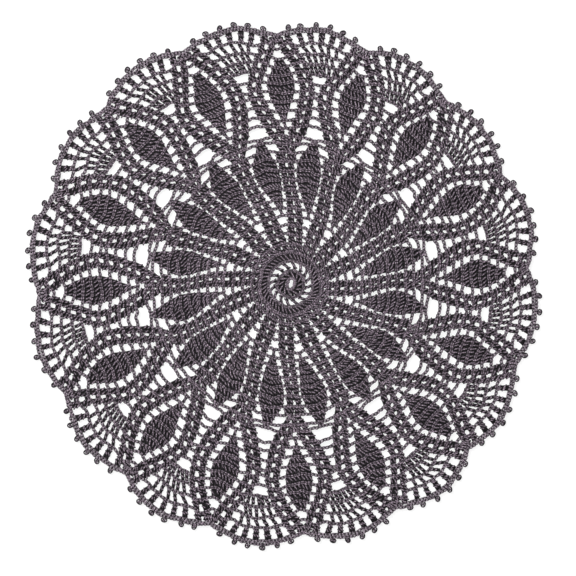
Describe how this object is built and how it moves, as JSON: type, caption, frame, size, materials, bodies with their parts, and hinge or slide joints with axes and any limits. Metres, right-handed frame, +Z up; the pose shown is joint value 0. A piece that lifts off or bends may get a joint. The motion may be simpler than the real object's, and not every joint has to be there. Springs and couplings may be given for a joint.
{
  "type": "lace doily",
  "caption": "Round crocheted lace doily of dark grey cotton, lying flat, with rings of leaf shapes and a scalloped edge of small knobs.",
  "frame": {"origin": "middle of the box round the doily, on the face that lies on the table", "axes": "+Z up out of the cloth, +Y towards the top of the picture, +X to its right"},
  "size_m": [0.3524, 0.36, 0.002],
  "materials": {
    "yarn": "matt mercerised cotton yarn, crocheted"
  },
  "bodies": {
    "root": {"doily": "yarn"}
  },
  "joints": []
}
